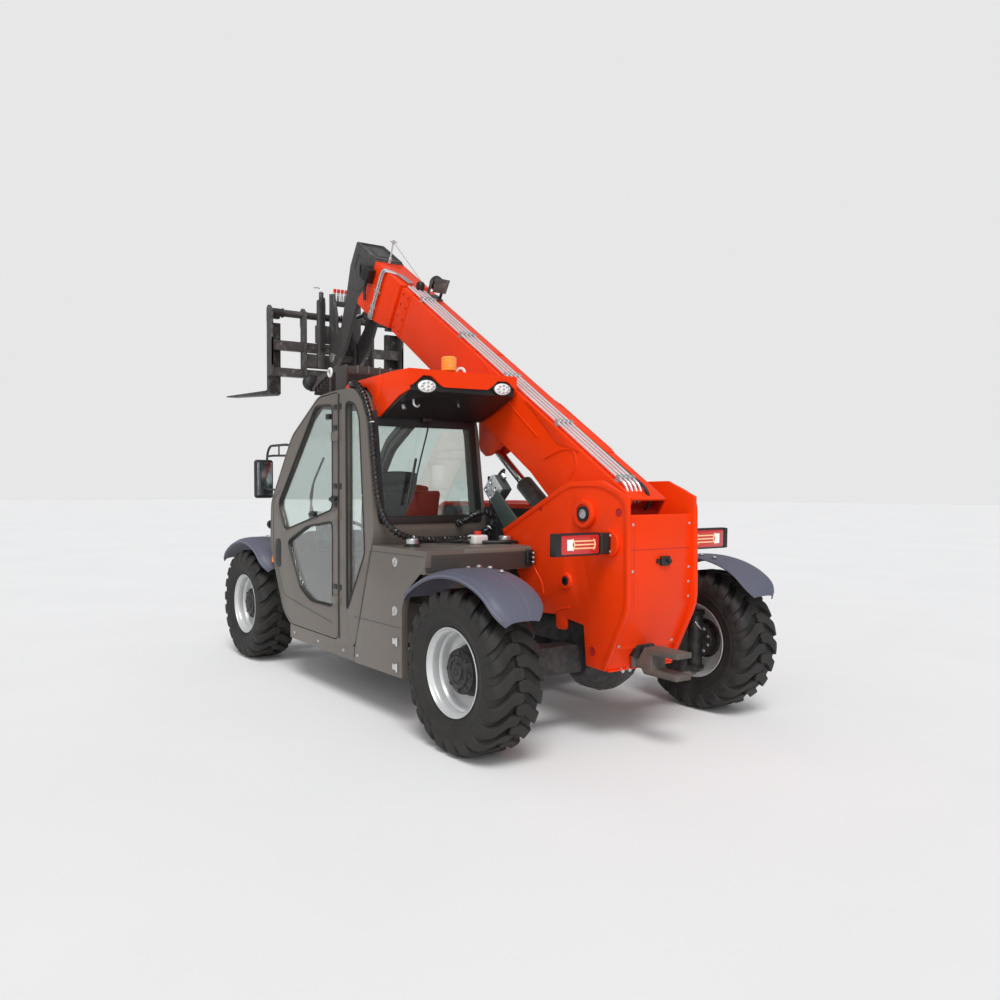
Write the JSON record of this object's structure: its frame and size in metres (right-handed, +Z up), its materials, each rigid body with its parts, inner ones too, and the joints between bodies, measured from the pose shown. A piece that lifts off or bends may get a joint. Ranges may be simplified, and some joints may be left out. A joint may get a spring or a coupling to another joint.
{
  "type": "telehandler",
  "caption": "Compact telehandler with a side cab, engine bay, raised two-section boom and pallet forks; all wheels steer and roll, the boom lifts and extends and the forks tilt.",
  "frame": {"origin": "on the ground, under the middle of the whole machine's box", "axes": "+X to the machine's left, +Y to its rear, +Z up; the forks point along -Y"},
  "size_m": [2.067, 4.95, 3.2579],
  "materials": {
    "orange_paint": "gloss orange-red paint",
    "cab_paint": "satin grey-brown paint",
    "dark_steel": "satin near-black paint",
    "chassis_black": "matt black paint",
    "mudguard_plastic": "slate moulded plastic",
    "tyre_rubber": "moulded tread rubber",
    "rim_paint": "silver paint",
    "chrome_rod": "ground and chromed",
    "cast_iron": "rough casting",
    "tinted_glass": "green tinted safety glass",
    "amber_lens": "amber lens",
    "red_lens": "red lens",
    "hose_rubber": "spiral plastic wrap over black hose",
    "valve_paint": "grey-green paint",
    "black_plastic": "black moulded plastic and vinyl"
  },
  "bodies": {
    "chassis": {"chassis_frame": "chassis_black", "boom_tower_left": "orange_paint", "boom_tower_right": "orange_paint", "rear_cover": "orange_paint", "tow_hitch": "cast_iron", "lift_cylinder_pin": "dark_steel", "front_axle": "chassis_black", "rear_axle": "chassis_black", "engine_block": "cast_iron", "engine_skirt": "chassis_black", "cab_frame": "cab_paint", "cab_tub": "cab_paint", "quarter_window": "tinted_glass", "right_window": "tinted_glass", "rear_window": "tinted_glass", "windscreen": "tinted_glass", "seat": "black_plastic", "steering_console": "black_plastic", "roof_hood": "orange_paint", "roof_guard": "black_plastic", "beacon": "amber_lens", "side_panel": "cab_paint", "hydraulic_tank": "cab_paint", "mirror_left": "black_plastic", "tail_lamp_left": "red_lens", "tail_lamp_right": "red_lens", "spiral_hose": "hose_rubber", "valve_block": "valve_paint", "mudguard_front_left": "mudguard_plastic", "mudguard_front_right": "mudguard_plastic", "mudguard_rear_left": "mudguard_plastic", "mudguard_rear_right": "mudguard_plastic"},
    "engine_hood": {"engine_hood": "orange_paint"},
    "cab_door": {"door_frame": "cab_paint", "door_glass_upper": "tinted_glass", "door_glass_lower": "tinted_glass"},
    "boom_outer": {"boom_outer": "orange_paint"},
    "boom_inner": {"boom_inner": "orange_paint", "boom_nose": "dark_steel"},
    "carriage": {"quick_hitch": "dark_steel", "fork_carriage": "dark_steel", "fork_left": "dark_steel", "fork_right": "dark_steel"},
    "lift_barrel": {"lift_cylinder_barrel": "dark_steel"},
    "lift_rod": {"lift_cylinder_rod": "chrome_rod"},
    "tilt_barrel": {"tilt_cylinder_barrel": "dark_steel"},
    "tilt_rod": {"tilt_cylinder_rod": "chrome_rod"},
    "knuckle_front_left": {"knuckle_front_left": "chassis_black"},
    "wheel_front_left": {"rim_front_left": "rim_paint", "tyre_front_left": "tyre_rubber"},
    "knuckle_front_right": {"knuckle_front_right": "chassis_black"},
    "wheel_front_right": {"rim_front_right": "rim_paint", "tyre_front_right": "tyre_rubber"},
    "knuckle_rear_left": {"knuckle_rear_left": "chassis_black"},
    "wheel_rear_left": {"rim_rear_left": "rim_paint", "tyre_rear_left": "tyre_rubber"},
    "knuckle_rear_right": {"knuckle_rear_right": "chassis_black"},
    "wheel_rear_right": {"rim_rear_right": "rim_paint", "tyre_rear_right": "tyre_rubber"}
  },
  "joints": [
    {"name": "steer_front_left", "type": "hinge", "parent": "chassis", "child": "knuckle_front_left", "pos_m": [0.78, -0.985, 0.4155], "axis": [0, 0, 1], "range_deg": [-28, 28]},
    {"name": "roll_front_left", "type": "hinge", "parent": "knuckle_front_left", "child": "wheel_front_left", "pos_m": [0.88, -0.985, 0.4155], "axis": [1, 0, 0], "continuous": true},
    {"name": "steer_front_right", "type": "hinge", "parent": "chassis", "child": "knuckle_front_right", "pos_m": [-0.78, -0.985, 0.4155], "axis": [0, 0, 1], "range_deg": [-28, 28]},
    {"name": "roll_front_right", "type": "hinge", "parent": "knuckle_front_right", "child": "wheel_front_right", "pos_m": [-0.88, -0.985, 0.4155], "axis": [1, 0, 0], "continuous": true},
    {"name": "steer_rear_left", "type": "hinge", "parent": "chassis", "child": "knuckle_rear_left", "pos_m": [0.78, 1.875, 0.4155], "axis": [0, 0, 1], "range_deg": [-28, 28]},
    {"name": "roll_rear_left", "type": "hinge", "parent": "knuckle_rear_left", "child": "wheel_rear_left", "pos_m": [0.88, 1.875, 0.4155], "axis": [1, 0, 0], "continuous": true},
    {"name": "steer_rear_right", "type": "hinge", "parent": "chassis", "child": "knuckle_rear_right", "pos_m": [-0.78, 1.875, 0.4155], "axis": [0, 0, 1], "range_deg": [-28, 28]},
    {"name": "roll_rear_right", "type": "hinge", "parent": "knuckle_rear_right", "child": "wheel_rear_right", "pos_m": [-0.88, 1.875, 0.4155], "axis": [1, 0, 0], "continuous": true},
    {"name": "boom_lift", "type": "hinge", "parent": "chassis", "child": "boom_outer", "pos_m": [0, 2.02, 1.197], "axis": [-1, 0, 0], "range_deg": [-33, 27]},
    {"name": "boom_extend", "type": "slide", "parent": "boom_outer", "child": "boom_inner", "axis": [0, -0.8387, 0.5446], "range_m": [0, 1.9]},
    {"name": "fork_tilt", "type": "hinge", "parent": "boom_inner", "child": "carriage", "pos_m": [0, -1.245, 2.4], "axis": [1, 0, 0], "range_deg": [-45, 60]},
    {"name": "lift_barrel_swing", "type": "hinge", "parent": "chassis", "child": "lift_barrel", "pos_m": [0, 1.875, 0.83], "axis": [-1, 0, 0], "range_deg": [-35, 29]},
    {"name": "lift_rod_slide", "type": "slide", "parent": "lift_barrel", "child": "lift_rod", "axis": [0, -0.7944, 0.6073], "range_m": [-0.23, 0.19]},
    {"name": "tilt_barrel_swing", "type": "hinge", "parent": "boom_inner", "child": "tilt_barrel", "pos_m": [0, -0.27208, 2.66164], "axis": [1, 0, 0], "range_deg": [-8, 8]},
    {"name": "tilt_rod_slide", "type": "slide", "parent": "tilt_barrel", "child": "tilt_rod", "axis": [0, -0.997, 0.0775], "range_m": [-0.26, 0.34]},
    {"name": "door_hinge", "type": "hinge", "parent": "chassis", "child": "cab_door", "pos_m": [0.984, 0.575, 1.15], "axis": [0, 0, 1], "range_deg": [0, 85]},
    {"name": "hood_hinge", "type": "hinge", "parent": "chassis", "child": "engine_hood", "pos_m": [-0.272, 0.425, 1.195], "axis": [0, 1, 0], "range_deg": [0, 70]}
  ],
  "couplings": [
    {"joint": "steer_front_right", "follows": "steer_front_left", "ratio": 1},
    {"joint": "steer_rear_right", "follows": "steer_rear_left", "ratio": 1},
    {"joint": "lift_barrel_swing", "follows": "boom_lift", "ratio": 0.94},
    {"joint": "lift_rod_slide", "follows": "boom_lift", "m_per_rad": 0.37},
    {"joint": "tilt_barrel_swing", "follows": "fork_tilt", "ratio": 0.08},
    {"joint": "tilt_rod_slide", "follows": "fork_tilt", "m_per_rad": 0.31}
  ]
}
